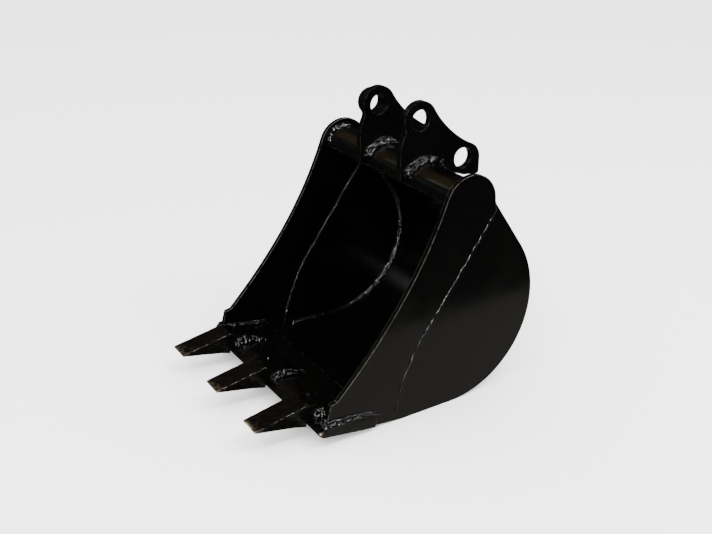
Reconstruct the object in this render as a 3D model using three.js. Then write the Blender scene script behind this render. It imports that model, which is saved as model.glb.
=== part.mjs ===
// Excavator bucket for a micro digger: a welded steel bucket with three weld-on teeth.
// Millimetres, +Z up. The bucket rests on its flat floor with its mouth and teeth towards -Y.
// X runs across the bucket. The origin is on the ground, in the middle of the footprint.
// Side outlines are drawn in the YZ plane about the axis of the torque tube.

import * as THREE from 'three';
import { mergeVertices } from 'three/addons/utils/BufferGeometryUtils.js';

// ---- Driving dimensions -------------------------------------------------------------

const bucketWidth = 305; // over the outer faces of the side plates
const tubeAxisHeight = 276; // top roll axis above the ground
const weldGap = 0.3; // clearance between neighbouring pieces

const sidePlateThickness = 7;
const cheekThickness = 6.5; // flush with the side plate inside, set back outside
const shellThickness = 6;

const lobeRadius = 38.7; // rounded top of the side plate, about the top roll axis
const lobeFrontAngle = 159.4; // where the front edge leaves the lobe
const rollRadius = 28; // outside of the top roll
const backReach = 109.8; // rearmost point of the outline behind the top roll axis
const backStraightReach = 29.5; // the straight's distance from the top roll axis
const backNormalAngle = 35; // direction the straight behind the neck faces, degrees
const neckRadius = 15; // concave blend from the straight to the lobe
const floorFlatFront = -98; // where the flat floor ends and rises to the cutting edge

const topRollTail = 14; // straight part of the top roll before it meets the shell
const topRollLipAngle = 176; // free lip at the front, degrees round from +Y

const throatPoint = [-81.6, -107.4]; // control point of the hollow front edge
const noseTop = [-195.2, 57.6]; // nose and cutting edge heights are above the ground
const noseFront = [-204.2, 55.6];
const noseBottomY = -211;
const seamTop = [40.5, -16.2]; // seam between side plate and cheek
const seamBend = [-64, -158];
const seamKnee = [-101, 65]; // control point, its height above the ground
const seamBottomY = -110.5;

const bladeRearY = -138.8;
const bladeRearTopHeight = 20.3; // top of the cutting edge at its rear, above the ground
const bladeDepth = 84;
const bladeThickness = 16;
const bladeBevelStart = 64; // along the top face, from the rear
const bladeBevelDrop = 8.5;
const bladeUnderBevel = 6.3;
const bladeUnderRise = 3.5; // height of the bevel under the front
const bladeTilt = 8.5; // degrees, front upwards
const bladeOverhang = 5; // beyond each side plate

const toothCount = 3;
const toothSpacing = 109.5;
const toothWidth = 34;
const toothTipAlong = 157; // tip, measured along the cutting edge from its rear
const toothTipDrop = 8.2; // top of the tip below the plane of the blade's top face
const toothTipThickness = 2.6;
const toothRidge = [87.2, 15.8]; // along and above the blade's top face
const toothBack = [60.5, 9];
const toothHeel = [30, 3.5];
const toothUnderside = [101.4, -13.4];
const toothSeatRise = 0.4; // foot of the seat above the blade's underside

const earThickness = 9;
const earInnerGap = 86;
const boreRadius = 14;
const pinFront = [-7, 83.6]; // upper, front pin about the top roll axis
const pinRear = [63.7, 22.3];
const frontLobeRadius = 25;
const frontLobeRearAngle = 30;
const frontLobeFrontAngle = 205;
const earBackCentre = [68.6, 18.3];
const earBackRadius = 23.8;
const earBackTopAngle = 66;
const earFrontFoot = [-37.5, 38];
const earFrontHandles = [[1.4, -6], [-0.5, 22]]; // curve handles from the front edge's two ends
const earTopHandles = [[-27.4, 12.2], [11, -19]]; // curve handles from the top edge's two ends
const earToe = [-37.8, 6];
const earHeel = [92, -4.2];
const earHeelCornerRadius = 3;
const earUndersideFront = [41, 9.8];
const earUndersideBend = [50, 3.3];
const earUndersideRear = [66, -1.9];
const saddleFrontAngle = 170;
const saddleTail = 8; // how far the ears sit down the straight behind the top roll
const bossRadius = 18.6;
const bossLength = 17;

const earWeldLeg = 10;
const earWeldFrontAngle = 160;
const earWeldRearAngle = 36;
const plateWeldLeg = 5;
const rollWeldFrontAngle = 165;
const rollWeldRearAngle = 45;
const bladeWeldLeg = 4;
const bladeWeldStart = 2; // along the blade, from its rear
const bladeSeamWeldDepth = 9; // from the blade's rear over the shell
const bladeSeamWeldHeight = 8.5;
const toothWeldLeg = 7;
const toothWeldFront = 76; // along the blade, on its bevel
const seamWeldWidth = 7;
const seamWeldHeight = 1.5;
const beadCrown = 0.62; // how far a corner bead's middle stands out, as a share of its leg

// ---- Derived places -------------------------------------------------------------------

const halfWidth = bucketWidth / 2;
const sideInner = halfWidth - sidePlateThickness;
const innerReach = sideInner - weldGap; // half length of what fits between the sides
const ground = -tubeAxisHeight;
const rad = THREE.MathUtils.degToRad;
const tilt = rad(bladeTilt);

const bladeRearTop = ground + bladeRearTopHeight;
const backNormal = new THREE.Vector2(Math.cos(rad(backNormalAngle)), Math.sin(rad(backNormalAngle)));
const backDirection = new THREE.Vector2(-backNormal.y, backNormal.x);
// The rounded back touches the ground and the rearmost line, and its straight lies backStraightReach from
// the top roll axis.
const backSpan = backStraightReach - backReach * backNormal.x - ground * backNormal.y;
const backRadius = backSpan / (1 - backNormal.x + backNormal.y);
const backCentre = new THREE.Vector2(backReach - backRadius, ground + backRadius);
const rollAxis = new THREE.Vector2(0, 0);

const neckOffset = backStraightReach + neckRadius;
const neckAlong = -Math.sqrt((lobeRadius + neckRadius) ** 2 - neckOffset ** 2);
const neckCentre = backNormal
  .clone()
  .multiplyScalar(neckOffset)
  .addScaledVector(backDirection, neckAlong);
const neckOnLobe = THREE.MathUtils.radToDeg(Math.atan2(neckCentre.y, neckCentre.x));

// A point given along and above the top face of the cutting edge, from its rear top corner.
function onBlade(forward, up) {
  return new THREE.Vector2(
    bladeRearY - forward * Math.cos(tilt) + up * Math.sin(tilt),
    bladeRearTop + forward * Math.sin(tilt) + up * Math.cos(tilt),
  );
}

const bladeBevelSlope = bladeBevelDrop / (bladeDepth - bladeBevelStart);

function aboveGround([y, height]) {
  return new THREE.Vector2(y, ground + height);
}

function bladeTopAt(y) {
  return bladeRearTop + (bladeRearY - y) * Math.tan(tilt);
}

const bladeRearBottom = onBlade(0, -bladeThickness);
const floorRiseSlope = (bladeRearBottom.y - ground) / (floorFlatFront - bladeRearY);

function floorAt(y) {
  return ground + Math.max(0, floorFlatFront - y) * floorRiseSlope;
}

const toothTip = onBlade(toothTipAlong, -toothTipDrop);
const toothPoint = onBlade(toothTipAlong, -toothTipDrop - toothTipThickness);
const frameY = (toothPoint.x + backReach) / 2;

// ---- Materials ------------------------------------------------------------------------

const paint = { color: 0x0b0b0c, roughness: 0.18, metalness: 0.0 };
const weldPaint = { color: 0x101011, roughness: 0.12, metalness: 0.0 };
const wornPaint = { color: 0x2a261e, roughness: 0.4, metalness: 0.2 };

// ---- Helpers --------------------------------------------------------------------------

const bucket = new THREE.Group();
bucket.name = 'excavator_bucket';
const body = new THREE.Group();
body.position.set(0, -frameY, tubeAxisHeight);
bucket.add(body);

function addPiece(name, geometry, look = paint) {
  const mesh = new THREE.Mesh(geometry, new THREE.MeshStandardMaterial(look));
  mesh.name = name;
  body.add(mesh);
  return mesh;
}

function shapeFrom(points) {
  return new THREE.Shape(withoutRepeats(points));
}

function arcPoints(centre, radius, fromDegrees, toDegrees, steps) {
  const points = [];
  for (let i = 0; i <= steps; i += 1) {
    const a = rad(fromDegrees + ((toDegrees - fromDegrees) * i) / steps);
    points.push(new THREE.Vector2(centre.x + radius * Math.cos(a), centre.y + radius * Math.sin(a)));
  }
  return points;
}

function withoutRepeats(points) {
  return points.filter((p, i) => i === 0 || p.distanceTo(points[i - 1]) > 0.05);
}

// Extrudes a YZ outline across the bucket from x0.
function plateAcross(shape, x0, depth) {
  const geometry = new THREE.ExtrudeGeometry(shape, { depth, bevelEnabled: false });
  const toBucket = new THREE.Matrix4().makeBasis(
    new THREE.Vector3(0, 1, 0),
    new THREE.Vector3(0, 0, 1),
    new THREE.Vector3(1, 0, 0),
  );
  geometry.applyMatrix4(toBucket);
  geometry.translate(x0, 0, 0);
  return geometry;
}

function closedGeometry(vertices, triangles) {
  const geometry = new THREE.BufferGeometry();
  geometry.setAttribute('position', new THREE.Float32BufferAttribute(vertices, 3));
  geometry.setIndex(triangles);
  return mergeVertices(geometry, 1e-4);
}

// Sweeps a closed section along frames {at, u, v}; a section point (a, b) sits at at + a u + b v.
// The section runs counter-clockwise seen against the direction of travel.
function sweep(section, frames) {
  const vertices = [];
  const triangles = [];
  const n = section.length;
  for (const frame of frames) {
    for (const [a, b] of section) {
      const p = frame.at.clone().addScaledVector(frame.u, a).addScaledVector(frame.v, b);
      vertices.push(p.x, p.y, p.z);
    }
  }
  for (let i = 0; i < frames.length - 1; i += 1) {
    for (let j = 0; j < n; j += 1) {
      const a = i * n + j;
      const b = i * n + ((j + 1) % n);
      triangles.push(a, b, b + n, a, b + n, a + n);
    }
  }
  const last = (frames.length - 1) * n;
  for (let j = 1; j < n - 1; j += 1) {
    triangles.push(0, j + 1, j);
    triangles.push(last, last + j, last + j + 1);
  }
  const geometry = closedGeometry(vertices, triangles);
  return signedVolume(geometry) < 0 ? turnedInsideOut(geometry) : geometry;
}

function signedVolume(geometry) {
  const p = geometry.getAttribute('position');
  const index = geometry.getIndex();
  const [a, b, c] = [new THREE.Vector3(), new THREE.Vector3(), new THREE.Vector3()];
  let volume = 0;
  for (let i = 0; i < index.count; i += 3) {
    a.fromBufferAttribute(p, index.getX(i));
    b.fromBufferAttribute(p, index.getX(i + 1));
    c.fromBufferAttribute(p, index.getX(i + 2));
    volume += a.dot(b.cross(c)) / 6;
  }
  return volume;
}

function turnedInsideOut(geometry) {
  const index = geometry.getIndex();
  for (let i = 0; i < index.count; i += 3) {
    const kept = index.getX(i + 1);
    index.setX(i + 1, index.getX(i + 2));
    index.setX(i + 2, kept);
  }
  return geometry;
}

// Frames along a YZ polyline at one x. u points along the given x side, v to the left of travel.
function planarFrames(points, x, xSide, leftSign = 1) {
  return points.map((point, i) => {
    const before = points[Math.max(i - 1, 0)];
    const after = points[Math.min(i + 1, points.length - 1)];
    const d = after.clone().sub(before).normalize();
    return {
      at: new THREE.Vector3(x, point.x, point.y),
      u: new THREE.Vector3(xSide, 0, 0),
      v: new THREE.Vector3(0, -d.y * leftSign, d.x * leftSign),
    };
  });
}

// Convex fillet bead in a corner: its two flat legs keep the gap to both plates.
function filletSection(leg, gap = weldGap) {
  const full = gap + leg;
  const bulge = gap + leg * beadCrown;
  return [[gap, gap], [full, gap], [bulge, bulge], [gap, full]];
}

// Low crowned bead that lies over a flush seam.
function capSection(width, height, gap = weldGap) {
  return [
    [gap, -width / 2],
    [gap + height, -width / 4],
    [gap + height, width / 4],
    [gap, width / 2],
  ];
}

// ---- Side outlines --------------------------------------------------------------------

// Rounded back from the end of the flat floor up to the straight, inset towards the inside.
function backOutline(inset) {
  return [
    new THREE.Vector2(floorFlatFront, ground + inset),
    ...arcPoints(backCentre, backRadius - inset, -90, backNormalAngle, 50),
  ];
}

// A point along the straight behind the top roll, at a reach from the roll's axis.
function onStraight(along, reach) {
  return backNormal.clone().multiplyScalar(reach).addScaledVector(backDirection, along);
}

function neckOutline() {
  return arcPoints(neckCentre, neckRadius, backNormalAngle + 180, neckOnLobe + 180, 6);
}

// Seam between side plate and cheek, from the neck down to the floor.
function seamLine() {
  const lower = new THREE.QuadraticBezierCurve(
    new THREE.Vector2(...seamBend),
    aboveGround(seamKnee),
    new THREE.Vector2(seamBottomY, floorAt(seamBottomY)),
  );
  const top = new THREE.Vector2(...seamTop);
  const upper = [0, 0.06, 0.3, 0.65].map((t) => top.clone().lerp(lower.v0, t));
  return [...upper, ...lower.getPoints(8)];
}

function offsetLine(points, distance) {
  return points.map((point, i) => {
    const before = points[Math.max(i - 1, 0)];
    const after = points[Math.min(i + 1, points.length - 1)];
    const d = after.clone().sub(before).normalize();
    return new THREE.Vector2(point.x - d.y * distance, point.y + d.x * distance);
  });
}

// ---- Side plates and cheeks -------------------------------------------------------------

function sidePlateShape() {
  const lobe = arcPoints(rollAxis, lobeRadius, neckOnLobe, lobeFrontAngle, 30);
  const frontEdge = new THREE.QuadraticBezierCurve(
    lobe[lobe.length - 1],
    new THREE.Vector2(...throatPoint),
    aboveGround(noseTop),
  );
  return shapeFrom([
    ...lobe,
    ...frontEdge.getPoints(24),
    aboveGround(noseFront),
    new THREE.Vector2(noseBottomY, bladeTopAt(noseBottomY) + weldGap),
    new THREE.Vector2(bladeRearY + weldGap, bladeTopAt(bladeRearY) + weldGap),
    new THREE.Vector2(bladeRearY + weldGap, floorAt(bladeRearY)),
    ...seamLine().reverse(),
    ...neckOutline().slice(4, 6),
  ]);
}

function cheekShape() {
  const seam = offsetLine(seamLine(), weldGap);
  seam[seam.length - 1].y = floorAt(seam[seam.length - 1].x);
  return shapeFrom([...seam, ...backOutline(0), ...neckOutline().slice(0, 4)]);
}

const sides = [
  ['left', -1],
  ['right', 1],
];

function plateAt(shape, innerFace, thickness, sign) {
  const outerFace = innerFace + thickness;
  return plateAcross(shape, Math.min(sign * innerFace, sign * outerFace), thickness);
}

for (const [side, sign] of sides) {
  addPiece(`side_plate_${side}`, plateAt(sidePlateShape(), sideInner, sidePlateThickness, sign));
  addPiece(`cheek_plate_${side}`, plateAt(cheekShape(), sideInner, cheekThickness, sign));
}

// ---- Shell and top roll -----------------------------------------------------------------

const shellFrontY = bladeRearY + weldGap;
const shellTopAlong = -topRollTail - weldGap;
const shellInnerReach = backStraightReach - shellThickness;

addPiece('shell', plateAcross(shapeFrom([
  new THREE.Vector2(shellFrontY, floorAt(shellFrontY)),
  ...backOutline(0),
  onStraight(shellTopAlong, backStraightReach),
  onStraight(shellTopAlong, shellInnerReach),
  ...backOutline(shellThickness).reverse(),
  new THREE.Vector2(shellFrontY, floorAt(shellFrontY) + shellThickness),
]), -innerReach, 2 * innerReach));

addPiece('top_roll', plateAcross(shapeFrom([
  onStraight(-topRollTail, rollRadius),
  ...arcPoints(rollAxis, rollRadius, backNormalAngle, topRollLipAngle, 40),
  ...arcPoints(rollAxis, rollRadius - shellThickness, topRollLipAngle, backNormalAngle, 32),
  onStraight(-topRollTail, rollRadius - shellThickness),
]), -innerReach, 2 * innerReach));

// ---- Cutting edge -----------------------------------------------------------------------

const bladeReach = halfWidth + bladeOverhang;

addPiece('cutting_edge', plateAcross(shapeFrom([
  onBlade(0, 0),
  onBlade(0, -bladeThickness),
  onBlade(bladeDepth - bladeUnderBevel, -bladeThickness),
  onBlade(bladeDepth, -bladeThickness + bladeUnderRise),
  onBlade(bladeDepth, -bladeBevelDrop),
  onBlade(bladeBevelStart, 0),
]), -bladeReach, 2 * bladeReach));

// ---- Teeth --------------------------------------------------------------------------------

function toothShape() {
  return shapeFrom([
    toothTip,
    toothPoint,
    onBlade(...toothUnderside),
    onBlade(bladeDepth + weldGap, -bladeThickness + toothSeatRise),
    onBlade(bladeDepth + weldGap, -bladeBevelDrop + weldGap),
    onBlade(bladeBevelStart, weldGap),
    onBlade(toothHeel[0], weldGap),
    onBlade(...toothHeel),
    onBlade(...toothBack),
    onBlade(...toothRidge),
  ]);
}

const toothNames = ['left', 'middle', 'right'];

for (let i = 0; i < toothCount; i += 1) {
  const x = (i - (toothCount - 1) / 2) * toothSpacing;
  const name = toothNames[i];
  addPiece(`tooth_${name}`, plateAcross(toothShape(), x - toothWidth / 2, toothWidth), wornPaint);
  const line = [
    onBlade(toothHeel[0] + weldGap, 0),
    onBlade(bladeBevelStart, 0),
    onBlade(toothWeldFront, -(toothWeldFront - bladeBevelStart) * bladeBevelSlope),
  ];
  for (const [side, sign] of sides) {
    const corner = x + sign * toothWidth / 2;
    const frames = planarFrames(line, corner, sign, -1);
    addPiece(`tooth_weld_${name}_${side}`, sweep(filletSection(toothWeldLeg), frames), weldPaint);
  }
}

// ---- Hanger ears --------------------------------------------------------------------------

// A cubic curve between two points, its handles given from those points.
function handledCurve(start, end, [startHandle, endHandle]) {
  return new THREE.CubicBezierCurve(
    start,
    start.clone().add(new THREE.Vector2(...startHandle)),
    end.clone().add(new THREE.Vector2(...endHandle)),
    end,
  );
}

function earShape() {
  const front = new THREE.Vector2(...pinFront);
  const rear = new THREE.Vector2(...pinRear);
  const lobe = arcPoints(front, frontLobeRadius, frontLobeRearAngle, frontLobeFrontAngle, 32);
  const back = arcPoints(new THREE.Vector2(...earBackCentre), earBackRadius, 0, earBackTopAngle, 12);
  const lobeRear = lobe[0];
  const lobeFront = lobe[lobe.length - 1];
  const backTop = back[back.length - 1];
  const frontFoot = new THREE.Vector2(...earFrontFoot);
  const frontEdge = handledCurve(lobeFront, frontFoot, earFrontHandles);
  const topEdge = handledCurve(backTop, lobeRear, earTopHandles);
  const heelCorner = new THREE.Vector2(
    earHeel[0] - earHeelCornerRadius,
    earHeel[1] + earHeelCornerRadius,
  );
  const underside = new THREE.QuadraticBezierCurve(
    new THREE.Vector2(...earUndersideFront),
    new THREE.Vector2(...earUndersideBend),
    new THREE.Vector2(...earUndersideRear),
  );
  const saddleRadius = rollRadius + weldGap;
  const saddle = [
    ...arcPoints(rollAxis, saddleRadius, saddleFrontAngle, backNormalAngle, 16),
    onStraight(-saddleTail, saddleRadius),
  ];
  const shape = shapeFrom([
    ...saddle,
    ...underside.getPoints(10),
    ...arcPoints(heelCorner, earHeelCornerRadius, -90, 0, 4),
    ...back,
    ...topEdge.getPoints(20),
    ...lobe,
    ...frontEdge.getPoints(14),
    new THREE.Vector2(...earToe),
  ]);
  shape.holes.push(boreHole(front), boreHole(rear));
  return shape;
}

function boreHole(centre) {
  return new THREE.Path(arcPoints(centre, boreRadius, 360, 0, 48).slice(0, -1));
}

const earInner = earInnerGap / 2;
const earOuter = earInner + earThickness;

function rollFrames(x, xSide, fromAngle, toAngle, steps) {
  return arcPoints(rollAxis, 1, fromAngle, toAngle, steps).map((p) => ({
    at: new THREE.Vector3(x, p.x * rollRadius, p.y * rollRadius),
    u: new THREE.Vector3(xSide, 0, 0),
    v: new THREE.Vector3(0, p.x, p.y),
  }));
}

for (const [side, sign] of sides) {
  addPiece(`hanger_ear_${side}`, plateAt(earShape(), earInner, earThickness, sign));
  const beads = [
    ['outer', sign * earOuter, sign],
    ['inner', sign * earInner, -sign],
  ];
  for (const [face, x, away] of beads) {
    const frames = rollFrames(x, away, earWeldFrontAngle, earWeldRearAngle, 16);
    addPiece(`ear_weld_${side}_${face}`, sweep(filletSection(earWeldLeg), frames), weldPaint);
  }
}

// Collars on the outer face of the left ear, round each bore.
for (const [name, pin] of [['front', pinFront], ['rear', pinRear]]) {
  const centre = new THREE.Vector2(...pin);
  const ring = shapeFrom(arcPoints(centre, bossRadius, 0, 360, 48).slice(0, -1));
  ring.holes.push(boreHole(centre));
  addPiece(`pin_boss_${name}`, plateAcross(ring, -earOuter - weldGap - bossLength, bossLength));
}

// ---- Weld beads -----------------------------------------------------------------------------

for (const [side, sign] of sides) {
  const rollEnd = rollFrames(sign * sideInner, -sign, rollWeldFrontAngle, rollWeldRearAngle, 14);
  addPiece(`top_roll_weld_${side}`, sweep(filletSection(plateWeldLeg), rollEnd), weldPaint);

  const outerSeam = seamLine().slice(1);
  addPiece(
    `cheek_seam_outer_${side}`,
    sweep(capSection(seamWeldWidth, seamWeldHeight), planarFrames(outerSeam, sign * halfWidth, sign)),
    weldPaint,
  );

  const innerSeam = seamLine().slice(1, -1);
  addPiece(
    `cheek_seam_inner_${side}`,
    sweep(capSection(seamWeldWidth, seamWeldHeight), planarFrames(innerSeam, sign * sideInner, -sign)),
    weldPaint,
  );

  const corner = [...backOutline(shellThickness), onStraight(shellTopAlong - 4, shellInnerReach)];
  addPiece(
    `shell_weld_${side}`,
    sweep(filletSection(plateWeldLeg), planarFrames(corner, sign * sideInner, -sign)),
    weldPaint,
  );

  const ledge = [onBlade(bladeWeldStart, 0), onBlade(bladeBevelStart, 0)];
  addPiece(
    `blade_weld_outer_${side}`,
    sweep(filletSection(bladeWeldLeg), planarFrames(ledge, sign * halfWidth, sign, -1)),
    weldPaint,
  );
  addPiece(
    `blade_weld_inner_${side}`,
    sweep(filletSection(plateWeldLeg), planarFrames(ledge, sign * sideInner, -sign, -1)),
    weldPaint,
  );
}

function framesAcross(point, u, v) {
  return [-innerReach, innerReach].map((x) => ({
    at: new THREE.Vector3(x, point.x, point.y),
    u: new THREE.Vector3(0, u.x, u.y),
    v: new THREE.Vector3(0, v.x, v.y),
  }));
}

const floorCorner = new THREE.Vector2(shellFrontY, floorAt(shellFrontY) + shellThickness);
addPiece(
  'blade_seam_weld',
  sweep(
    [
      [0, weldGap],
      [bladeSeamWeldDepth, -weldGap],
      [bladeSeamWeldDepth * beadCrown, bladeSeamWeldHeight * beadCrown],
      [0, bladeSeamWeldHeight],
    ],
    framesAcross(floorCorner, new THREE.Vector2(1, 0), new THREE.Vector2(0, 1)),
  ),
  weldPaint,
);

addPiece(
  'top_roll_seam_weld',
  sweep(
    capSection(seamWeldWidth, seamWeldHeight),
    framesAcross(onStraight(-topRollTail, backStraightReach), backNormal, backDirection),
  ),
  weldPaint,
);

export default bucket;
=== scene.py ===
import math
import random

import bmesh
import bpy
from mathutils import Matrix, Vector, noise


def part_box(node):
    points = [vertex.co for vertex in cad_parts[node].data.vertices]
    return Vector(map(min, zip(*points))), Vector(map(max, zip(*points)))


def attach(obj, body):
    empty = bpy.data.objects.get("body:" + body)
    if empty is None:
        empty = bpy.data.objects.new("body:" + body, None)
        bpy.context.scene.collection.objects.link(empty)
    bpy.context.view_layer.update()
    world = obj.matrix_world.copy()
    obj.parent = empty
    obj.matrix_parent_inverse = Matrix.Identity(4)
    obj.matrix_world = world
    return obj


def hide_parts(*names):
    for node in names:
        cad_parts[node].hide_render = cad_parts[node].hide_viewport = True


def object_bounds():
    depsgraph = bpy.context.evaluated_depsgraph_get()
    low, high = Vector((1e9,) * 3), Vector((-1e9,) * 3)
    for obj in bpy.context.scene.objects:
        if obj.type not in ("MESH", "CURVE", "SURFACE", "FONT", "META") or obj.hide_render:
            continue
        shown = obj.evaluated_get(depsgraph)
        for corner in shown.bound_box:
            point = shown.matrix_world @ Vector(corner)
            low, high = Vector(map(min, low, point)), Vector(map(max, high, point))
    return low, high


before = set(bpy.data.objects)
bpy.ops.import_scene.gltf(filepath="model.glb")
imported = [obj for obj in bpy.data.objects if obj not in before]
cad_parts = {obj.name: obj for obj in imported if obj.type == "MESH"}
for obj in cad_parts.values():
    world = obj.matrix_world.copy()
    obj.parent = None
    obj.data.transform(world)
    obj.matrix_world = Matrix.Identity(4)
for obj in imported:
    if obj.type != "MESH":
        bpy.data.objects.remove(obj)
cad_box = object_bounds()
scene = bpy.context.scene

MM = 0.001

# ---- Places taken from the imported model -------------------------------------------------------

_, roll_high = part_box("top_roll")
plate_low, plate_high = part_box("side_plate_right")
ear_low, ear_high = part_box("hanger_ear_right")
_, blade_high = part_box("cutting_edge")
tooth_low, tooth_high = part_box("tooth_middle")

SIDE_OUTER = plate_high.x
SIDE_INNER = plate_low.x
EAR_OUTER = ear_high.x
EAR_INNER = ear_low.x
TOOTH_HALF = (tooth_high.x - tooth_low.x) / 2
BACK_REACH = cad_box[1][1]

# ---- The model's own dimensions, in metres and degrees ----------------------------------------
# A side-view point is (y, z) about the axis of the top roll.

ROLL_RADIUS = 28 * MM
ROLL_TO_BACK = 109.8 * MM
ROLL_AXIS = Vector((0, BACK_REACH - ROLL_TO_BACK, roll_high.z - ROLL_RADIUS))
ROLL_TAIL = 14 * MM
PLATE = 6 * MM
PLATE_GAP = 0.3 * MM
PINS = ((-7 * MM, 83.6 * MM), (63.7 * MM, 22.3 * MM))  # front, rear
BORE_RADIUS = 14 * MM

BACK_STRAIGHT = 29.5 * MM
BACK_NORMAL_ANGLE = 35
FLOOR_FLAT_FRONT = -98 * MM

SEAM_TOP = (40.5 * MM, -16.2 * MM)
SEAM_BEND = (-64 * MM, -158 * MM)
SEAM_KNEE = (-101 * MM, -211 * MM)
SEAM_BOTTOM_Y = -110.5 * MM
SEAM_TOP_SKIPPED = 0.06  # share of the straight that the bead leaves free below the neck
NOSE_FOOT_Y = -211 * MM

BLADE_REAR = (-138.8 * MM, -255.7 * MM)
BLADE_TILT = 8.5
BLADE_THICKNESS = 16 * MM
BLADE_DEPTH = 84 * MM
BLADE_BEVEL_START = 64 * MM
BLADE_BEVEL_DROP = 8.5 * MM
BLADE_BEVEL_RUN = BLADE_DEPTH - BLADE_BEVEL_START

TOOTH_SPACING = 109.5 * MM
TOOTH_HEEL = 30 * MM
TOOTH_TIP = 157 * MM
TOOTH_TIP_DROP = 8.2 * MM

# ---- Camera -----------------------------------------------------------------------------------

CAMERA_AZIMUTH = 57.66
CAMERA_ELEVATION = 24.57
CAMERA_PLACE = (1.0044, -0.6147, 0.6948)
CAMERA_LENS = 48.31
SENSOR_WIDTH = 36

camera_data = bpy.data.cameras.new("camera")
camera_data.lens = CAMERA_LENS
camera_data.sensor_width = SENSOR_WIDTH
camera = bpy.data.objects.new("camera", camera_data)
camera.location = CAMERA_PLACE
camera.rotation_euler = (math.radians(90 - CAMERA_ELEVATION), 0, math.radians(CAMERA_AZIMUTH))
scene.collection.objects.link(camera)
scene.camera = camera

# ---- Small tools ------------------------------------------------------------------------------


def srgb(code):
    """An sRGB hex colour as the linear RGBA that a shader socket takes."""
    parts = [int(code[i:i + 2], 16) / 255 for i in (1, 3, 5)]
    linear = [c / 12.92 if c <= 0.04045 else ((c + 0.055) / 1.055) ** 2.4 for c in parts]
    return (*linear, 1)


def add_node(tree, kind, settings=None, links=None):
    """Adds a node. settings holds properties and socket values, links holds socket: source."""
    node = tree.nodes.new(kind)
    for key, value in (settings or {}).items():
        if isinstance(key, str) and hasattr(node, key):
            setattr(node, key, value)
        else:
            node.inputs[key].default_value = value
    for key, source in (links or {}).items():
        tree.links.new(source, node.inputs[key])
    return node


def new_material(name):
    """An empty node material with its output node."""
    material = bpy.data.materials.new(name)
    material.use_nodes = True
    tree = material.node_tree
    tree.nodes.clear()
    return material, tree, add_node(tree, "ShaderNodeOutputMaterial")


def smooth_object(name, mesh, material):
    """Puts a finished mesh into the scene with its material and smooth faces."""
    obj = bpy.data.objects.new(name, mesh)
    scene.collection.objects.link(obj)
    mesh.materials.clear()
    mesh.materials.append(material)
    for face in mesh.polygons:
        face.use_smooth = True
    return obj


def finish_piece(obj, slot, *nodes):
    """Puts a piece under the root body and hides the model nodes it stands for; the slot it is given is not
    used.
    """
    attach(obj, "root")
    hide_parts(*nodes)
    return obj


# ---- Materials --------------------------------------------------------------------------------

PAINT_IOR = 1.5
ENAMEL_BLACK = "#020202"
ENAMEL_HAZED = "#040403"
# Painted reflection: the brown of a warm band painted along the top roll.
WARM_REFLECTION_PAINT = "#0c0904"
# Rims: a dull grey brown that is partly rubbed film and partly a painted highlight.
RIM_WEAR_AND_HIGHLIGHT_COLOUR = "#2b261d"
RUBBED_ROUGHNESS = 0.22  # added where a rim is rubbed
FILM_PATCH_MM = 60  # the film's gloss drifts over hand-wide patches
CHIP_MM = 5
PEEL_DEPTH_MM = 0.012


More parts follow.
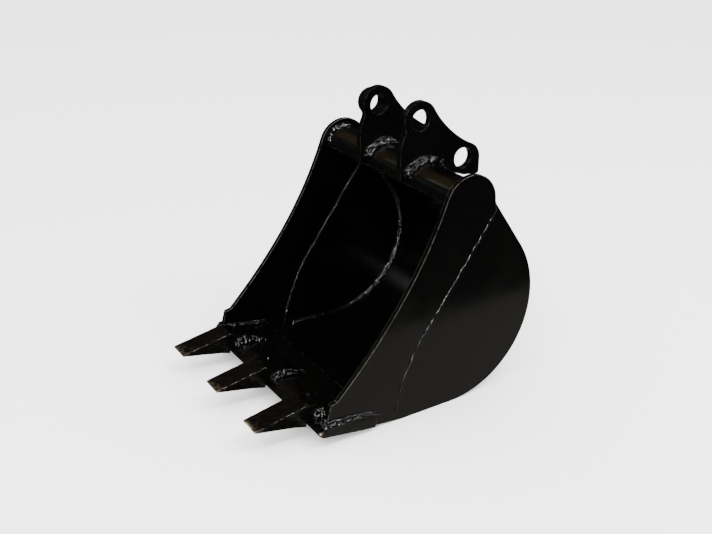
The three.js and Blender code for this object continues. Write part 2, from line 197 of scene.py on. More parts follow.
def gloss_enamel(name, rough_low, rough_high, peel_mm, wave_mm, wave_depth_mm):
    """Black machine enamel sprayed on steel: a deep gloss over orange peel and plate waviness."""
    material, tree, output = new_material(name)
    place = add_node(tree, "ShaderNodeTexCoord").outputs["Object"]
    film, peel, wave, chips = (
        add_node(
            tree, "ShaderNodeTexNoise", {"Scale": 1 / (size * MM), "Detail": detail}, {"Vector": place},
        )
        for size, detail in ((FILM_PATCH_MM, 4), (peel_mm, 2), (wave_mm, 1), (CHIP_MM, 5))
    )
    rim_wear_and_highlight = add_node(tree, "ShaderNodeAttribute", {"attribute_name": "rim_wear_and_highlight"}).outputs["Fac"]
    # Painted warm reflection, a brown band on the top roll where it mirrors the warm wall.
    warm_reflection = add_node(tree, "ShaderNodeAttribute", {"attribute_name": "warm_reflection"}).outputs["Fac"]
    haze = add_node(
        tree, "ShaderNodeMapRange", {"From Min": 0.45, "From Max": 0.75, "To Max": 0.7},
        {"Value": film.outputs[0]},
    )
    clean = add_node(
        tree, "ShaderNodeMix", {"data_type": "RGBA", 6: srgb(ENAMEL_BLACK), 7: srgb(ENAMEL_HAZED)},
        {0: haze.outputs[0]},
    )
    with_warm_reflection = add_node(
        tree, "ShaderNodeMix", {"data_type": "RGBA", 7: srgb(WARM_REFLECTION_PAINT)}, {0: warm_reflection, 6: clean.outputs[2]},
    )
    chipped = add_node(
        tree, "ShaderNodeMapRange", {"From Min": 0.36, "From Max": 0.56, "To Min": 0.12},
        {"Value": chips.outputs[0]},
    )
    # Where the rims are painted lighter: rubbed wear and a painted highlight.
    worn_and_highlighted = add_node(
        tree, "ShaderNodeMath", {"operation": "MULTIPLY"}, {0: rim_wear_and_highlight, 1: chipped.outputs[0]},
    )
    colour = add_node(
        tree, "ShaderNodeMix", {"data_type": "RGBA", 7: srgb(RIM_WEAR_AND_HIGHLIGHT_COLOUR)},
        {0: worn_and_highlighted.outputs[0], 6: with_warm_reflection.outputs[2]},
    )
    rough = add_node(
        tree, "ShaderNodeMapRange",
        {"From Min": 0.35, "From Max": 0.7, "To Min": rough_low, "To Max": rough_high},
        {"Value": film.outputs[0]},
    )
    scuffed = add_node(
        tree, "ShaderNodeMath", {"operation": "MULTIPLY_ADD", 1: RUBBED_ROUGHNESS},
        {0: worn_and_highlighted.outputs[0], 2: rough.outputs[0]},
    )
    swell = add_node(
        tree, "ShaderNodeBump", {"Strength": 1, "Distance": wave_depth_mm * MM},
        {"Height": wave.outputs[0]},
    )
    skin = add_node(
        tree, "ShaderNodeBump", {"Strength": 1, "Distance": PEEL_DEPTH_MM * MM},
        {"Height": peel.outputs[0], "Normal": swell.outputs[0]},
    )
    shader = add_node(
        tree, "ShaderNodeBsdfPrincipled", {"IOR": PAINT_IOR},
        {"Base Color": colour.outputs[2], "Roughness": scuffed.outputs[0], "Normal": skin.outputs[0]},
    )
    tree.links.new(shader.outputs[0], output.inputs[0])
    return material


# Alkyd enamel on rolled plate: nearly a black mirror, with slow waves from rolling and welding.
# Sharp rims carry a thin film that handling rubs; they are painted a dull grey brown that is partly that
# wear and partly a painted highlight.
PLATE_ENAMEL = gloss_enamel(
    "black_enamel_on_rolled_plate", rough_low=0.13, rough_high=0.24,
    peel_mm=1.6, wave_mm=55, wave_depth_mm=0.25,
)

# The same enamel lying thick and wet over welds: sharper gloss, with the finest weld ripples
# showing through as a shallow, short wave.
WELD_ENAMEL = gloss_enamel(
    "black_enamel_on_weld", rough_low=0.04, rough_high=0.09,
    peel_mm=1.0, wave_mm=4, wave_depth_mm=0.06,
)

ENAMEL_THIN = "#070604"
RUST_DARK = "#14110b"
RUST_LIGHT = "#302518"
BARE_STEEL = "#857a66"
SCUFF_MM = 6
RUST_GRAIN_MM = 1.2
PIT_DEPTH_MM = 0.12


def worn_enamel():
    """Black enamel over forged steel, rubbed through to rusty and bare metal where wear is high."""
    material, tree, output = new_material("worn_enamel_on_forged_steel")
    place = add_node(tree, "ShaderNodeTexCoord").outputs["Object"]
    wear_and_highlight = add_node(tree, "ShaderNodeAttribute", {"attribute_name": "wear_and_highlight"}).outputs["Fac"]
    scuff, grain = (
        add_node(
            tree, "ShaderNodeTexNoise", {"Scale": 1 / (size * MM), "Detail": detail}, {"Vector": place},
        )
        for size, detail in ((SCUFF_MM, 6), (RUST_GRAIN_MM, 4))
    )
    worn_and_highlighted = add_node(
        tree, "ShaderNodeMath", {"operation": "MULTIPLY_ADD", 1: 0.9}, {0: scuff.outputs[0], 2: wear_and_highlight},
    )
    rusted = add_node(
        tree, "ShaderNodeMapRange", {"From Min": 0.74, "From Max": 1, "To Max": 0.85},
        {"Value": worn_and_highlighted.outputs[0]},
    )
    bared = add_node(
        tree, "ShaderNodeMapRange", {"From Min": 1.15, "From Max": 1.45}, {"Value": worn_and_highlighted.outputs[0]},
    )
    thinned = add_node(
        tree, "ShaderNodeMapRange", {"From Min": 0.4, "From Max": 0.7}, {"Value": scuff.outputs[0]},
    )
    coat = add_node(
        tree, "ShaderNodeMix", {"data_type": "RGBA", 6: srgb(ENAMEL_BLACK), 7: srgb(ENAMEL_THIN)},
        {0: thinned.outputs[0]},
    )
    rust = add_node(
        tree, "ShaderNodeMix", {"data_type": "RGBA", 6: srgb(RUST_DARK), 7: srgb(RUST_LIGHT)},
        {0: grain.outputs[0]},
    )
    rusty = add_node(
        tree, "ShaderNodeMix", {"data_type": "RGBA"},
        {0: rusted.outputs[0], 6: coat.outputs[2], 7: rust.outputs[2]},
    )
    colour = add_node(
        tree, "ShaderNodeMix", {"data_type": "RGBA", 7: srgb(BARE_STEEL)},
        {0: bared.outputs[0], 6: rusty.outputs[2]},
    )
    rough = add_node(
        tree, "ShaderNodeMapRange", {"To Min": 0.13, "To Max": 0.42}, {"Value": rusted.outputs[0]},
    )
    pits = add_node(
        tree, "ShaderNodeBump", {"Strength": 0.6, "Distance": PIT_DEPTH_MM * MM},
        {"Height": grain.outputs[0]},
    )
    shader = add_node(
        tree, "ShaderNodeBsdfPrincipled", {"IOR": PAINT_IOR},
        {"Base Color": colour.outputs[2], "Roughness": rough.outputs[0], "Normal": pits.outputs[0]},
    )
    tree.links.new(shader.outputs[0], output.inputs[0])
    return material


# Enamel on forged teeth and flame-cut bar: duller than on plate, brown where it wears thin, with
# pale steel at the very corners.
# On the cutting edge these colours also paint a highlight line along the rear rim.
WORN_ENAMEL = worn_enamel()

# ---- Plates -----------------------------------------------------------------------------------

MERGE = 0.005 * MM
FLAT_ANGLE = math.radians(0.5)  # faces closer than this lie in one plane
RIM_ANGLE = math.radians(30)
BORE_RIM_MM = 0.4
RIM_STEPS = 3


def clean_block(node):
    """The model node's shape as a bmesh without the seams between faces of one plane."""
    work = bmesh.new()
    work.from_mesh(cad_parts[node].data)
    bmesh.ops.remove_doubles(work, verts=work.verts, dist=MERGE)
    bmesh.ops.dissolve_limit(work, angle_limit=FLAT_ANGLE, verts=work.verts, edges=work.edges)
    return work


def round_a_bore(point):
    """True for a point on the wall of one of the pin bores."""
    place = Vector((point.y - ROLL_AXIS.y, point.z - ROLL_AXIS.z))
    return any((place - Vector(pin)).length < BORE_RADIUS + 0.2 * MM for pin in PINS)


def eased_block(node, rim_mm, close=None, rim_wear_and_highlight_share=1.0):
    """The model node's shape with its rims rounded and marked as places that get rubbed wear and a painted
    rim highlight.
    """
    work = clean_block(node)
    if close:
        for vertex in work.verts:
            vertex.co = close(vertex.co)
    rim_wear_and_highlight = work.faces.layers.float.new("rim_wear_and_highlight")
    rims = [e for e in work.edges if len(e.link_faces) == 2 and e.calc_face_angle() > RIM_ANGLE]
    bores = [e for e in rims if all(round_a_bore(v.co) for v in e.verts)]
    for edges, width_mm in ((bores, BORE_RIM_MM), ([e for e in rims if e not in bores], rim_mm)):
        if not edges:
            continue
        rounded = bmesh.ops.bevel(
            work, geom=edges, offset=width_mm * MM, offset_type="OFFSET", segments=RIM_STEPS,
            profile=0.5, affect="EDGES", clamp_overlap=True,
        )
        for face in rounded["faces"]:
            face[rim_wear_and_highlight] = rim_wear_and_highlight_share
    return work


def plate_from_node(node, rim_mm, close=None, paint=None, rim_wear_and_highlight_share=1.0):
    """A painted plate with the outline of its model node, its rims eased by a small rounding."""
    work = eased_block(node, rim_mm, close, rim_wear_and_highlight_share)
    if paint:
        paint(work)
    mesh = bpy.data.meshes.new(node + "_plate")
    work.to_mesh(mesh)
    work.free()
    obj = smooth_object(mesh.name, mesh, PLATE_ENAMEL)
    even = obj.modifiers.new("even_normals", "WEIGHTED_NORMAL")
    even.keep_sharp = True
    even.weight = 100
    return finish_piece(obj, "black_paint", node)


def reach_sides(point):
    """Carries a cross piece's ends over the model's gap, out to the side plates."""
    return Vector((point.x + math.copysign(PLATE_GAP, point.x), point.y, point.z))


WARM_REFLECTION_ANGLES = (106, 118, 134, 144)  # on the roll: where the painted warm reflection starts, is full, starts to fade, ends


def warm_reflection_on_roll(work):
    """A painted warm reflection: brown in a soft band along the upper front of the roll."""
    warm_reflection = work.verts.layers.float.new("warm_reflection")
    rise, full, fade, end = WARM_REFLECTION_ANGLES
    for vertex in work.verts:
        angle = math.degrees(math.atan2(vertex.co.z - ROLL_AXIS.z, vertex.co.y - ROLL_AXIS.y))
        up = (angle - rise) / (full - rise)
        down = (end - angle) / (end - fade)
        vertex[warm_reflection] = max(0.0, min(1.0, up, down))


# How much of the rubbed, painted-highlight rim colour the ears and the roll get.
EAR_RIM_WEAR_AND_HIGHLIGHT = 0.55
ROLL_RIM_WEAR_AND_HIGHLIGHT = 0.5

for side in ("left", "right"):
    plate_from_node("side_plate_" + side, 0.7)
    plate_from_node("cheek_plate_" + side, 0.6)
    plate_from_node("hanger_ear_" + side, 0.9, rim_wear_and_highlight_share=EAR_RIM_WEAR_AND_HIGHLIGHT)
for place in ("front", "rear"):
    plate_from_node("pin_boss_" + place, 1.2, rim_wear_and_highlight_share=EAR_RIM_WEAR_AND_HIGHLIGHT)
plate_from_node("shell", 0.5, close=reach_sides)
# The top roll carries a painted warm reflection band.
plate_from_node("top_roll", 0.8, close=reach_sides, paint=warm_reflection_on_roll, rim_wear_and_highlight_share=ROLL_RIM_WEAR_AND_HIGHLIGHT)

# ---- Teeth and cutting edge -------------------------------------------------------------------


def on_blade(forward, up):
    """A side-view point along and above the top face of the cutting edge."""
    c, s = math.cos(math.radians(BLADE_TILT)), math.sin(math.radians(BLADE_TILT))
    return (BLADE_REAR[0] - forward * c + up * s, BLADE_REAR[1] + forward * s + up * c)


def in_frame(x, point):
    """A side-view point, put at a place across the bucket."""
    return Vector((x, ROLL_AXIS.y + point[0], ROLL_AXIS.z + point[1]))


def edge_distance(point, edges):
    """How far a point is from the nearest of a list of straight edges."""
    best = 1.0
    for a, b in edges:
        along = b - a
        t = max(0.0, min(1.0, (point - a).dot(along) / along.length_squared))
        best = min(best, (point - a - along * t).length)
    return best


WORN_EDGE_ANGLE = math.radians(8)
EDGE_REACH = 2.2 * MM  # how far from an edge the wear of that edge is felt
DENT_MM = 9
SMALL_DENT_MM = 3.2


def worn_block(node, rim_mm, grain_mm, dent_mm, wear_and_highlight_at):
    """A forged or flame-cut block: eased edges, shallow dents, and wear with any painted highlight, painted
    from the function it is given.
    """
    sharp = clean_block(node)
    edges = [
        (e.verts[0].co.copy(), e.verts[1].co.copy()) for e in sharp.edges
        if len(e.link_faces) == 2 and e.calc_face_angle_signed() > WORN_EDGE_ANGLE
    ]
    sharp.free()

    work = eased_block(node, rim_mm)
    mesh = bpy.data.meshes.new(node + "_block")
    work.to_mesh(mesh)
    work.free()
    mesh.attributes.remove(mesh.attributes["rim_wear_and_highlight"])
    obj = bpy.data.objects.new(mesh.name, mesh)
    scene.collection.objects.link(obj)
    grid = obj.modifiers.new("even_grid", "REMESH")
    grid.mode = "VOXEL"
    grid.voxel_size = grain_mm * MM
    fine = bpy.data.meshes.new_from_object(obj.evaluated_get(bpy.context.evaluated_depsgraph_get()))
    bpy.data.objects.remove(obj)
    fine.name = node + "_block"

    seed = sum(map(ord, node)) % 50
    normals = [v.normal.copy() for v in fine.vertices]
    wear_and_highlight = fine.attributes.new("wear_and_highlight", "FLOAT", "POINT")
    for vertex, normal in zip(fine.vertices, normals):
        place = vertex.co / MM
        near = math.exp(-edge_distance(vertex.co, edges) / EDGE_REACH)
        dent = 0
        for size, depth in ((DENT_MM, 1), (SMALL_DENT_MM, 0.6)):
            dent += depth * noise.noise(Vector((place.x / size, place.y / size, place.z / size + seed)))
        wear_and_highlight.data[vertex.index].value = wear_and_highlight_at(vertex.co, near)
        vertex.co += normal * (dent - 0.8 * near) * dent_mm * MM
    return finish_piece(smooth_object(fine.name, fine, WORN_ENAMEL), "worn_edge", node)


TIP_REACH = 6 * MM  # how far each kind of wear, and the painted highlight along the blade's rear rim, reaches
FRONT_REACH = 40 * MM
CORNER_REACH = 5 * MM
REAR_RIM_HIGHLIGHT_REACH = 1.6 * MM

TOOTH_TIP_AT = in_frame(0, on_blade(TOOTH_TIP, -TOOTH_TIP_DROP))
BLADE_REAR_AT = in_frame(0, on_blade(0, 0))
BLADE_BEVEL_Y = ROLL_AXIS.y + on_blade(BLADE_BEVEL_START, 0)[0]
BLADE_CORNERS = [
    in_frame(sign * blade_high.x, on_blade(BLADE_DEPTH, -BLADE_BEVEL_DROP)) for sign in (-1, 1)
]


def tooth_wear(point, near_edge):
    """A tooth wears at its tip most, then along its edges."""
    from_tip = math.hypot(point.y - TOOTH_TIP_AT.y, point.z - TOOTH_TIP_AT.z)
    tip = math.exp(-from_tip / TIP_REACH)
    return 0.03 + 0.2 * math.exp(-from_tip / FRONT_REACH) + 0.32 * tip + 0.25 * near_edge


def blade_wear_and_highlight(point, near_edge):
    """The cutting edge wears at its two front corners and a little at its front; along its rear rim a
    highlight line is painted.
    """
    from_rear = math.hypot(point.y - BLADE_REAR_AT.y, point.z - BLADE_REAR_AT.z)
    from_corner = min((point - place).length for place in BLADE_CORNERS)
    front = max(0.0, (BLADE_BEVEL_Y - point.y) / BLADE_BEVEL_RUN)
    # The rear rim term paints a highlight line, not wear.
    rims = 1.35 * math.exp(-from_corner / CORNER_REACH) + 0.85 * math.exp(-from_rear / REAR_RIM_HIGHLIGHT_REACH)
    return rims + 0.3 * near_edge + 0.03 * min(1.0, front) - 0.25


for name in ("left", "middle", "right"):
    worn_block("tooth_" + name, rim_mm=1.2, grain_mm=1.0, dent_mm=0.35, wear_and_highlight_at=tooth_wear)
worn_block("cutting_edge", rim_mm=1.0, grain_mm=1.6, dent_mm=0.2, wear_and_highlight_at=blade_wear_and_highlight)

# ---- Lines that the beads follow --------------------------------------------------------------

STEP = 0.8 * MM
FAN_RADIUS = 5 * MM  # a bead that fans round a corner takes as many steps as on this radius


def arc(centre, radius, start, end, count):
    """Points on a circle in the side view, angles in degrees."""
    angles = [math.radians(start + (end - start) * i / count) for i in range(count + 1)]
    return [(centre[0] + radius * math.cos(a), centre[1] + radius * math.sin(a)) for a in angles]


def quadratic(p0, p1, p2, count):
    """Points on a quadratic curve."""
    points = []
    for i in range(count + 1):
        t = i / count
        shares = ((1 - t) ** 2, 2 * t * (1 - t), t * t)
        points.append(tuple(shares[0] * a + shares[1] * b + shares[2] * c for a, b, c in zip(p0, p1, p2)))
    return points


def resampled(points):
    """Even steps along a polyline: (point, direction, distance) for each."""
    points = [Vector(p) for p in points]
    lengths = [0.0]
    for a, b in zip(points, points[1:]):
        lengths.append(lengths[-1] + (b - a).length)
    count = max(4, round(lengths[-1] / STEP))
    out = []
    k = 0
    for i in range(count + 1):
        s = lengths[-1] * i / count
        while k < len(points) - 2 and lengths[k + 1] < s:
            k += 1
        t = (s - lengths[k]) / (lengths[k + 1] - lengths[k])
        out.append([points[k].lerp(points[k + 1], t), None, s])
    for i, item in enumerate(out):
        item[1] = (out[min(i + 1, count)][0] - out[max(i - 1, 0)][0]).normalized()
    return out


def side_frames(points, x, away):
    """Frames (place, u, v, distance) along a side-view line. u points away from the plate face at x."""
    frames = []
    for point, direction, s in resampled(points):
        across = Vector((0, -direction[1], direction[0]))
        frames.append((in_frame(x, point), Vector((away, 0, 0)), across, s))
    return frames


def cross_frames(point, u, v, reach):
    """Frames along X at a side-view point."""
    frames = []
    for p, _, s in resampled([(-reach, 0), (reach, 0)]):
        frames.append((in_frame(p[0], point), Vector((0, *u)), Vector((0, *v)), s))
    return frames


def turned(a, b, t):
    """Between two vectors, turning and growing evenly from a to b."""
    direction = a.normalized().lerp(b.normalized(), t).normalized()
    return direction * (a.length * (1 - t) + b.length * t)


def wrap_frames(stops):
    """Frames round corners. Each stop is (place, u, v); where only u and v change, the frame fans round."""
    frames = []
    run = 0.0
    for (p0, u0, v0), (p1, u1, v1) in zip(stops, stops[1:]):
        sweep = (p1 - p0).length + FAN_RADIUS * (u0.angle(u1) + v0.angle(v1))
        count = max(2, round(sweep / STEP))
        for i in range(count):
            t = i / count
            frames.append((p0.lerp(p1, t), turned(u0, u1, t), turned(v0, v1, t), run + sweep * t))
        run += sweep
    frames.append((*stops[-1], run))
    return frames


# ---- Weld beads -------------------------------------------------------------------------------

SUNK = 0.35 * MM  # beads bite this far into the plates
FACES_ACROSS = 16
DIAGONAL = 0.707
RIPPLE_SHARE = 0.5
LUMP_SHARE = 1.2
GRIT_SHARE = 0.55
END_STUB = 0.03  # keeps a bead's last ring from closing to a point
SPATTER_RADII = (0.35 * MM, 0.8 * MM)
SPATTER_STRETCH = (0.12, 0.88)  # drops keep off the ends of a bead


def bead_height(s, t, pitch, seed):
    """How proud the bead stands, in roughnesses: crescent ripples broken up by the welder's hand."""
    wander = noise.noise(Vector((s / (5 * pitch), 3.1, seed))) * 2.2
    ripple = abs(math.sin(math.pi * (s / pitch + wander + 0.45 * math.sin(math.pi * t)))) ** 0.7 * 2 - 1
    lump = noise.noise(Vector((s / (1.1 * pitch), 2.6 * t, seed + 5)))
    grit = noise.noise(Vector((s / (0.5 * pitch), 5.3 * t, seed + 9)))
    return RIPPLE_SHARE * ripple + LUMP_SHARE * lump + GRIT_SHARE * grit


def add_spatter(work, frames, count, near, far, spread, seed):
    """Small frozen drops thrown beside a bead: along u, along v, or to both sides along v."""
    chance = random.Random(seed)
    for _ in range(count):
        at, u, v, _ = frames[int(len(frames) * chance.uniform(*SPATTER_STRETCH))]
        radius = chance.uniform(*SPATTER_RADII)
        away = chance.uniform(near, far)
        if spread == "both":
            away *= chance.choice((-1, 1))
        along, proud = (u, v) if spread == "u" else (v, u)
        place = at + along * away + proud * 0.3 * radius
        bmesh.ops.create_icosphere(work, subdivisions=2, radius=radius, matrix=Matrix.Translation(place))


def sweep_bead(name, frames, profile, *nodes, spatter=None):
    """Skins a closed section along frames. profile(s, length) gives the section's points (u, v) at s."""
    length = frames[-1][3]
    mesh = bpy.data.meshes.new(name)
    work = bmesh.new()
    rings = []
    for at, u, v, s in frames:
        rings.append([work.verts.new(at + u * a + v * b) for a, b in profile(s, length)])
    size = len(rings[0])
    for r0, r1 in zip(rings, rings[1:]):
        for j in range(size):
            k = (j + 1) % size
            work.faces.new((r0[j], r0[k], r1[k], r1[j]))
    work.faces.new(rings[0])
    work.faces.new(list(reversed(rings[-1])))
    bmesh.ops.recalc_face_normals(work, faces=work.faces)
    if spatter:
        add_spatter(work, frames, **spatter)
    work.to_mesh(mesh)
    work.free()
    return finish_piece(smooth_object(name, mesh, WELD_ENAMEL), "weld_paint", *nodes)


def end_taper(s, length, run):
    """1 along the bead, falling round to a small value over the last run at both ends."""
    near_end = min(s, length - s)
    if near_end >= run:
        return 1.0
    x = 1 - near_end / run
    return math.sqrt(max(END_STUB, 1 - x * x))


def fillet_profile(leg_a, leg_b, pitch, rough, seed, passes=1, crown=0.14):
    """Section of a corner bead between two plates, laid in one or two passes."""
    def profile(s, length):
        ease = end_taper(s, length, 0.6 * max(leg_a, leg_b))
        grow_a = 1 + 0.16 * noise.noise(Vector((s / (2.2 * leg_a), 0.3, seed + 11)))
        grow_b = 1 + 0.16 * noise.noise(Vector((s / (2.2 * leg_b), 0.7, seed + 23)))
        a, b = leg_a * grow_a * ease, leg_b * grow_b * ease
        points = [(-SUNK, -SUNK)]
        for j in range(FACES_ACROSS + 1):
            t = j / FACES_ACROSS
            hump = abs(math.sin(math.pi * passes * t)) ** 0.8
            swell = crown * max(a, b) * (0.35 * math.sin(math.pi * t) + 0.65 * hump)
            swell += rough * bead_height(s, t, pitch, seed) * math.sin(math.pi * t) ** 0.6 * ease
            proud = DIAGONAL * swell
            points.append(((1 - t) * a - t * SUNK + proud, t * b - (1 - t) * SUNK + proud))
        return points
    return profile


def cap_profile(width, height, pitch, rough, seed):
    """Section of a low bead over a flush seam."""
    def profile(s, length):
        ease = end_taper(s, length, 0.5 * width)
        w = width * ease * (1 + 0.18 * noise.noise(Vector((s / (3 * width), 0.2, seed))))
        drift = 0.12 * width * noise.noise(Vector((s / (5 * width), 4.2, seed)))
        patchy = 1 + 0.8 * noise.noise(Vector((s / (2.2 * pitch), 8.4, seed)))
        points = []
        for j in range(FACES_ACROSS + 1):
            t = j / FACES_ACROSS
            bulge = math.sin(math.pi * t) ** 0.7
            proud = (height * patchy + rough * bead_height(s, t, pitch, seed)) * bulge * ease
            points.append((proud - SUNK * (1 - bulge), (t - 0.5) * w + drift))
        return points
    return profile


# ---- Where the beads lie ----------------------------------------------------------------------

GROUND = -ROLL_AXIS.z
BLADE_UP = Vector((0, math.sin(math.radians(BLADE_TILT)), math.cos(math.radians(BLADE_TILT))))
BLADE_FORWARD = Vector((0, -BLADE_UP.z, BLADE_UP.y))
BACK_NORMAL = (math.cos(math.radians(BACK_NORMAL_ANGLE)), math.sin(math.radians(BACK_NORMAL_ANGLE)))
BACK_DIRECTION = (-BACK_NORMAL[1], BACK_NORMAL[0])

# The round back touches the ground, the rearmost line and the straight behind the roll.
REACH = BACK_REACH - ROLL_AXIS.y
BACK_RADIUS = (BACK_STRAIGHT - REACH * BACK_NORMAL[0] - GROUND * BACK_NORMAL[1]) / (
    1 - BACK_NORMAL[0] + BACK_NORMAL[1])
BACK_CENTRE = (REACH - BACK_RADIUS, GROUND + BACK_RADIUS)

SADDLE_FRONT_ANGLE = 163
SADDLE_TAIL = 9 * MM  # down the straight behind the roll, 1 mm past the foot of the ear
ROLL_END_ANGLES = (165, 45)
SHELL_BEAD_STOP = 4 * MM  # short of the roll's tail
CHEEK_SET_BACK = 0.5 * MM  # the cheek lies this far inside the side plate's outer face


def blade_place(x, along):
    """A point on the top of the cutting edge, which slopes down over its bevel."""
    drop = max(0.0, along - BLADE_BEVEL_START) * BLADE_BEVEL_DROP / BLADE_BEVEL_RUN
    return in_frame(x, on_blade(along, -drop))


def on_straight(along, inset):
    """A point by the straight part of the back, below the roll."""
    reach = BACK_STRAIGHT - inset
    return tuple(reach * n + along * d for n, d in zip(BACK_NORMAL, BACK_DIRECTION))


def floor_at(y):
    """The height of the bucket's underside, which climbs from the flat floor to the blade."""
    slope = (on_blade(0, -BLADE_THICKNESS)[1] - GROUND) / (FLOOR_FLAT_FRONT - BLADE_REAR[0])
    return GROUND + max(0.0, FLOOR_FLAT_FRONT - y) * slope


def seam_line():
    """The seam between side plate and cheek, from below the neck to the floor."""
    start = Vector(SEAM_TOP).lerp(Vector(SEAM_BEND), SEAM_TOP_SKIPPED)
    return [tuple(start)] + quadratic(SEAM_BEND, SEAM_KNEE, (SEAM_BOTTOM_Y, floor_at(SEAM_BOTTOM_Y)), 16)


def shell_corner():
    """The inside of the shell, from the flat floor round the back to below the roll."""
    line = [(FLOOR_FLAT_FRONT, GROUND + PLATE)]
    line += arc(BACK_CENTRE, BACK_RADIUS - PLATE, -90, BACK_NORMAL_ANGLE, 80)
    return line + [on_straight(-ROLL_TAIL - SHELL_BEAD_STOP, PLATE)]


def ear_saddle():
    """Where an ear sits: round the roll, then down the straight behind it."""
    line = arc((0, 0), ROLL_RADIUS, SADDLE_FRONT_ANGLE, BACK_NORMAL_ANGLE, 60)
    return line + [on_straight(-SADDLE_TAIL, BACK_STRAIGHT - ROLL_RADIUS)]


ROLL_END = arc((0, 0), ROLL_RADIUS, *ROLL_END_ANGLES, 50)
BLADE_REAR_CORNER = (BLADE_REAR[0] + PLATE_GAP, floor_at(BLADE_REAR[0]) + PLATE)
NOSE_ALONG = (BLADE_REAR[0] - NOSE_FOOT_Y) / BLADE_UP.z
TOOTH_BEAD_FRONT = 80 * MM

# How each weld is laid. Legs, widths and heights are those of the bead itself, pitch is the spacing
# of its ripples and rough the height of its lumps.
EAR_BEAD = dict(leg_a=10 * MM, leg_b=10 * MM, pitch=4.4 * MM, rough=2.0 * MM, passes=2, crown=0.2)
ROLL_END_BEAD = dict(leg_a=5.5 * MM, leg_b=5.5 * MM, pitch=3.2 * MM, rough=0.5 * MM)
SHELL_BEAD = dict(leg_a=6 * MM, leg_b=6 * MM, pitch=4 * MM, rough=0.8 * MM)
BLADE_BEAD = dict(leg_a=6.5 * MM, leg_b=7 * MM, pitch=4 * MM, rough=1.9 * MM, passes=2, crown=0.2)
TOOTH_BEAD = dict(leg_a=8.5 * MM, leg_b=8.5 * MM, pitch=4.4 * MM, rough=1.7 * MM, passes=2, crown=0.22)
BLADE_SEAM_BEAD = dict(leg_a=9 * MM, leg_b=8.5 * MM, pitch=4 * MM, rough=0.4 * MM)
OUTER_SEAM_CAP = dict(width=4 * MM, height=1.7 * MM, pitch=3.0 * MM, rough=0.6 * MM)
INNER_SEAM_CAP = dict(width=4.4 * MM, height=1.3 * MM, pitch=4.4 * MM, rough=1.7 * MM)
ROLL_SEAM_CAP = dict(width=7 * MM, height=1.5 * MM, pitch=3.4 * MM, rough=0.25 * MM)

# Drops thrown beside the welds.
EAR_SPATTER = dict(count=10, near=11 * MM, far=20 * MM, spread="u")
SEAM_SPATTER = dict(count=26, near=3 * MM, far=30 * MM, spread="both")
SHELL_SPATTER = dict(count=14, near=8 * MM, far=26 * MM, spread="v")
TOOTH_SPATTER = dict(count=8, near=9 * MM, far=14 * MM, spread="u")


def blade_end_stops(sign):
    """Down the blade's rear end, along the outside, round the nose and back along the inside.

    The lengths of u and v scale the two legs of the bead there.
    """
    outward = Vector((sign, 0, 0))
    outer, inner = sign * SIDE_OUTER, sign * SIDE_INNER
    return [
        (in_frame(outer, on_blade(0, -0.8 * BLADE_THICKNESS)), outward * 0.6, -BLADE_FORWARD * 0.5),
        (blade_place(outer, 0), outward * 0.6, -BLADE_FORWARD * 0.5),
        (blade_place(outer, 0), outward * 0.85, BLADE_UP * 0.9),
        (blade_place(outer, 0.6 * BLADE_BEVEL_START), outward * 0.85, BLADE_UP * 1.15),
        (blade_place(outer, NOSE_ALONG), outward, BLADE_UP * 1.2),
        (blade_place(outer, NOSE_ALONG), BLADE_FORWARD * 1.1, BLADE_UP * 1.6),
        (blade_place(inner, NOSE_ALONG), BLADE_FORWARD * 1.1, BLADE_UP * 1.6),
        (blade_place(inner, NOSE_ALONG), -outward, BLADE_UP * 1.2),
        (blade_place(inner, BLADE_BEVEL_START), -outward * 0.9, BLADE_UP),
        (blade_place(inner, 1 * MM), -outward * 0.9, BLADE_UP * 0.9),
    ]


def tooth_stops(x):
    """Along one side of a tooth, round its heel and along the other side."""
    sides = []
    for sign in (-1, 1):
        side, away = x + sign * TOOTH_HALF, Vector((sign, 0, 0))
        sides.append([
            (blade_place(side, TOOTH_BEAD_FRONT), away, BLADE_UP * 1.5),
            (blade_place(side, BLADE_BEVEL_START), away, BLADE_UP * 1.3),
            (blade_place(side, TOOTH_HEEL), away * 0.8, BLADE_UP * 0.6),
            (blade_place(side, TOOTH_HEEL), -BLADE_FORWARD * 0.5, BLADE_UP * 0.5),
        ])
    return sides[0] + sides[1][::-1]


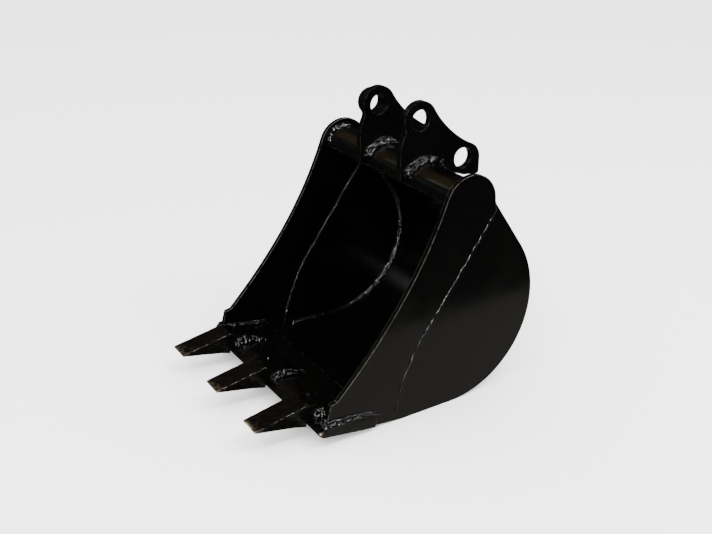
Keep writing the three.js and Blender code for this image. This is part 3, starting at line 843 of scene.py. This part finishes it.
# Each seed gives a bead its own lumps, so that no two are alike.
for number, (side, sign) in enumerate((("left", -1), ("right", 1))):
    for face, x, away in (("outer", sign * EAR_OUTER, sign), ("inner", sign * EAR_INNER, -sign)):
        seed = 10 * number + (3 if face == "outer" else 7)
        sweep_bead(
            f"ear_bead_{side}_{face}", side_frames(ear_saddle(), x, away),
            fillet_profile(**EAR_BEAD, seed=seed), f"ear_weld_{side}_{face}",
            spatter=dict(EAR_SPATTER, seed=seed),
        )
    sweep_bead(
        f"roll_end_bead_{side}", side_frames(ROLL_END, sign * SIDE_INNER, -sign),
        fillet_profile(**ROLL_END_BEAD, seed=31 + number), f"top_roll_weld_{side}",
    )
    sweep_bead(
        f"cheek_bead_outer_{side}", side_frames(seam_line(), sign * (SIDE_OUTER - CHEEK_SET_BACK), sign),
        cap_profile(**OUTER_SEAM_CAP, seed=41 + number), f"cheek_seam_outer_{side}",
        spatter=dict(SEAM_SPATTER, seed=43 + number),
    )
    sweep_bead(
        f"cheek_bead_inner_{side}", side_frames(seam_line()[:-2], sign * SIDE_INNER, -sign),
        cap_profile(**INNER_SEAM_CAP, seed=51 + number), f"cheek_seam_inner_{side}",
    )
    sweep_bead(
        f"shell_bead_{side}", side_frames(shell_corner(), sign * SIDE_INNER, -sign),
        fillet_profile(**SHELL_BEAD, seed=61 + number), f"shell_weld_{side}",
        spatter=dict(SHELL_SPATTER, seed=63 + number),
    )
    sweep_bead(
        f"blade_bead_{side}", wrap_frames(blade_end_stops(sign)),
        fillet_profile(**BLADE_BEAD, seed=71 + number),
        f"blade_weld_outer_{side}", f"blade_weld_inner_{side}",
    )

for number, name in enumerate(("left", "middle", "right")):
    sweep_bead(
        f"tooth_bead_{name}", wrap_frames(tooth_stops((number - 1) * TOOTH_SPACING)),
        fillet_profile(**TOOTH_BEAD, seed=91 + 2 * number),
        f"tooth_weld_{name}_left", f"tooth_weld_{name}_right",
        spatter=dict(TOOTH_SPATTER, seed=93 + number),
    )

sweep_bead(
    "blade_seam_bead", cross_frames(BLADE_REAR_CORNER, (1, 0), (0, 1), SIDE_INNER),
    fillet_profile(**BLADE_SEAM_BEAD, seed=101), "blade_seam_weld",
)
sweep_bead(
    "roll_seam_bead", cross_frames(on_straight(-ROLL_TAIL, 0), BACK_NORMAL, BACK_DIRECTION, SIDE_INNER),
    cap_profile(**ROLL_SEAM_CAP, seed=111), "top_roll_seam_weld",
)

# ---- Floor ------------------------------------------------------------------------------------

FLOOR_HALF = 6.0
FLOOR_DROP = 0.2 * MM
MAT_HALF = 0.36
MAT_FRONT = -0.12
MAT_BACK = 0.6
MAT_DROP = 0.1 * MM
MAT_GLOW = 0.42


def flat_sheet(name, half, front, back, drop, material):
    """A stage sheet that lies just below the object."""
    mesh = bpy.data.meshes.new(name)
    corners = [(-half, front), (half, front), (half, back), (-half, back)]
    mesh.from_pydata([(x, y, -drop) for x, y in corners], [], [(0, 1, 2, 3)])
    mesh.materials.append(material)
    obj = bpy.data.objects.new(name, mesh)
    scene.collection.objects.link(obj)
    return obj


def studio_floor():
    """A plain matt floor, which the gloss doesn't see."""
    material, tree, output = new_material("matt_white_floor")
    shader = add_node(
        tree, "ShaderNodeBsdfPrincipled", {"Base Color": srgb("#f4f4f2"), "Roughness": 0.9},
    )
    tree.links.new(shader.outputs[0], output.inputs[0])
    obj = flat_sheet("studio_floor", FLOOR_HALF, -FLOOR_HALF, FLOOR_HALF, FLOOR_DROP, material)
    obj.visible_glossy = False


def reflector_mat():
    """A dim pale mat that only the gloss sees, under and beside the bucket."""
    material, tree, output = new_material("dim_pale_card")
    glow = add_node(tree, "ShaderNodeEmission", {"Color": srgb("#f2ede6"), "Strength": MAT_GLOW})
    tree.links.new(glow.outputs[0], output.inputs[0])
    obj = flat_sheet("reflector_mat", MAT_HALF, MAT_FRONT, MAT_BACK, MAT_DROP, material)
    obj.visible_camera = False
    obj.visible_diffuse = False
    obj.visible_shadow = False


studio_floor()
reflector_mat()

# ---- Light ------------------------------------------------------------------------------------

ROOM_LIGHT = 3.6  # what lights the floor and the paint evenly
ROOM_GLOSS = 0.03  # the dim room that the gloss mirrors


def studio_world():
    """An even room that the gloss sees as nearly dark."""
    world = bpy.data.worlds.new("studio_world")
    scene.world = world
    world.use_nodes = True
    tree = world.node_tree
    tree.nodes.clear()
    bright = add_node(tree, "ShaderNodeBackground", {"Color": srgb("#ffffff"), "Strength": ROOM_LIGHT})
    dim = add_node(tree, "ShaderNodeBackground", {"Color": srgb("#f4f2ea"), "Strength": ROOM_GLOSS})
    path = add_node(tree, "ShaderNodeLightPath")
    mixed = add_node(
        tree, "ShaderNodeMixShader",
        links={0: path.outputs["Is Glossy Ray"], 1: bright.outputs[0], 2: dim.outputs[0]},
    )
    add_node(tree, "ShaderNodeOutputWorld", links={0: mixed.outputs[0]})


studio_world()

CENTRE = Vector((0, 0.05, 0.25))  # what every lamp faces
LAMP_DISTANCE = 2.4


def panel(name, direction, distance, size, radiance, colour="#ffffff"):
    """A soft box of the given size and brightness, facing the bucket from a direction."""
    data = bpy.data.lights.new(name, "AREA")
    data.shape = "RECTANGLE"
    data.size, data.size_y = size
    data.energy = radiance * math.pi * size[0] * size[1]
    data.color = srgb(colour)[:3]
    obj = bpy.data.objects.new(name, data)
    obj.location = CENTRE + Vector(direction).normalized() * distance
    obj.rotation_euler = (CENTRE - obj.location).to_track_quat("-Z", "Y").to_euler()
    scene.collection.objects.link(obj)
    return obj


WELD_LAMP = 60  # radiance of the lamps that make the weld beads sparkle

# Broad dim panels that the plates and the top roll mirror as soft bands.
panel("warm_wall", (-0.75, -0.13, 0.64), 2.2, (1.0, 0.75), 0.05, "#ffd49a")
panel("cool_window", (-0.75, -0.55, 0.36), 2.2, (0.5, 0.22), 0.22, "#e0fff0")
panel("left_wall", (-0.99, 0.1, 0.1), LAMP_DISTANCE, (1.2, 0.9), 0.4)
panel("right_wall", (0.99, 0.05, 0.1), 2.8, (1.6, 0.9), 0.3)
panel("front_wall", (0, -0.99, 0.1), 2.8, (1.0, 0.9), 0.25)
panel("inside_glow", (-0.74, -0.36, 0.57), LAMP_DISTANCE, (0.3, 0.3), 0.6)

# Small bright lamps for the welds.
panel("lamp_right_front", (0.35, -0.6, 0.72), LAMP_DISTANCE, (0.32, 0.32), WELD_LAMP)
panel("lamp_right_back", (0.5, 0.5, 0.7), LAMP_DISTANCE, (0.4, 0.4), WELD_LAMP)
panel("lamp_right_top", (0.45, 0.15, 0.88), LAMP_DISTANCE, (0.36, 0.36), WELD_LAMP)
panel("lamp_overhead", (-0.05, -0.3, 0.95), LAMP_DISTANCE, (0.25, 0.25), 50)
panel("lamp_front", (0.62, -0.64, 0.45), 2.6, (0.4, 0.4), WELD_LAMP)

# A tall strip, low down in front, for the beads along the seams.
strip = panel("strip_low_front", (0.58, -0.79, -0.02), 2.6, (0.3, 0.8), 25)
strip.visible_diffuse = False  # it would scorch the floor beside it
